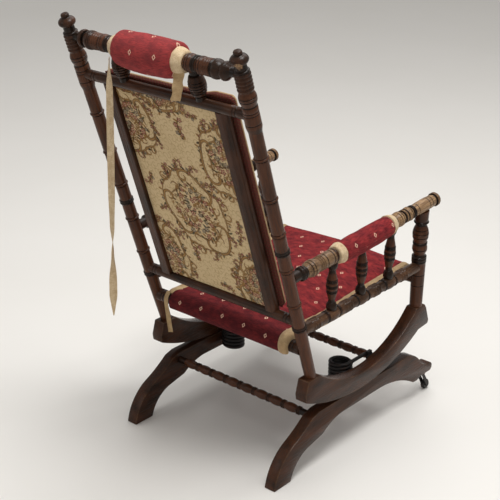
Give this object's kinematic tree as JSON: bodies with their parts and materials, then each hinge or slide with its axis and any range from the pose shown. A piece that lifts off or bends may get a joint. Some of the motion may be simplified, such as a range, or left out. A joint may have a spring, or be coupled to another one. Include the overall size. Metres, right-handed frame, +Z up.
{
  "type": "rocking armchair",
  "caption": "Turned wooden platform rocker with crescent rockers on a sprung base, leaning padded back with a head roll, padded arms, red seat and front castors.",
  "frame": {"origin": "floor level, under the middle of the chair's box", "axes": "+X to the sitter's left, +Y to the rear, +Z up; the sitter faces -Y"},
  "size_m": [0.535, 0.7846, 1.0314],
  "materials": {
    "stained_wood": "dark stained and waxed, worn at the edges",
    "red_cover": "short pile with small pale diamonds",
    "tapestry": "woven floral tapestry",
    "braid": "flat woven upholstery braid",
    "iron": "black iron"
  },
  "bodies": {
    "base": {"base_rail_left": "stained_wood", "base_rail_right": "stained_wood", "front_base_stretcher": "stained_wood", "rear_base_stretcher": "stained_wood", "spring_shoe_left": "iron", "spring_shoe_right": "iron", "caster_plate_left": "iron", "caster_plate_right": "iron"},
    "caster_swivel_left": {"caster_fork_left": "iron", "caster_axle_left": "iron"},
    "caster_wheel_left": {"caster_wheel_left": "iron"},
    "caster_swivel_right": {"caster_fork_right": "iron", "caster_axle_right": "iron"},
    "caster_wheel_right": {"caster_wheel_right": "iron"},
    "springs": {"spring_coils": "iron"},
    "chair": {"arm_bands_left": "braid", "arm_bands_right": "braid", "arm_left": "stained_wood", "arm_pad_left": "red_cover", "arm_pad_right": "red_cover", "arm_right": "stained_wood", "arm_spindle_1_left": "stained_wood", "arm_spindle_1_right": "stained_wood", "arm_spindle_2_left": "stained_wood", "arm_spindle_2_right": "stained_wood", "arm_spindle_3_left": "stained_wood", "arm_spindle_3_right": "stained_wood", "back_pad": "red_cover", "back_post_left": "stained_wood", "back_post_right": "stained_wood", "back_tapestry": "tapestry", "crest_rail": "stained_wood", "crest_spindle_left": "stained_wood", "crest_spindle_right": "stained_wood", "front_post_left": "stained_wood", "front_post_right": "stained_wood", "front_seat_rail": "stained_wood", "head_band_left": "braid", "head_band_right": "braid", "head_tape_end": "braid", "head_tape_tail": "braid", "headrest_roll": "red_cover", "lower_back_rail": "stained_wood", "rear_seat_rail": "stained_wood", "rocker_left": "stained_wood", "rocker_right": "stained_wood", "seat_cushion": "red_cover", "seat_edge_left": "braid", "seat_edge_right": "braid", "seat_tape_tail": "braid", "side_rail_left": "stained_wood", "side_rail_right": "stained_wood", "spring_strap_left": "iron", "spring_strap_right": "iron", "stile_left": "stained_wood", "stile_right": "stained_wood", "upper_back_rail": "stained_wood"}
  },
  "joints": [
    {"name": "rock_back", "type": "hinge", "parent": "base", "child": "springs", "pos_m": [0, -0.0138, 0.1383], "axis": [-1, 0, 0], "range_deg": [0, 12], "stiffness_Nm_per_rad": 150, "springref_deg": -5.73, "deforming": ["spring_coils"]},
    {"name": "rock_forward", "type": "hinge", "parent": "springs", "child": "chair", "pos_m": [0, -0.09607, 0.1383], "axis": [1, 0, 0], "range_deg": [0, 8], "stiffness_Nm_per_rad": 150, "springref_deg": -5.73, "deforming": ["spring_coils"]},
    {"name": "caster_swivel_left", "type": "hinge", "parent": "base", "child": "caster_swivel_left", "pos_m": [0.221, -0.3532, 0.05], "axis": [0, 0, 1], "continuous": true},
    {"name": "caster_roll_left", "type": "hinge", "parent": "caster_swivel_left", "child": "caster_wheel_left", "pos_m": [0.221, -0.3772, 0.013], "axis": [1, 0, 0], "continuous": true},
    {"name": "caster_swivel_right", "type": "hinge", "parent": "base", "child": "caster_swivel_right", "pos_m": [-0.221, -0.3532, 0.05], "axis": [0, 0, 1], "continuous": true},
    {"name": "caster_roll_right", "type": "hinge", "parent": "caster_swivel_right", "child": "caster_wheel_right", "pos_m": [-0.221, -0.3772, 0.013], "axis": [1, 0, 0], "continuous": true}
  ]
}
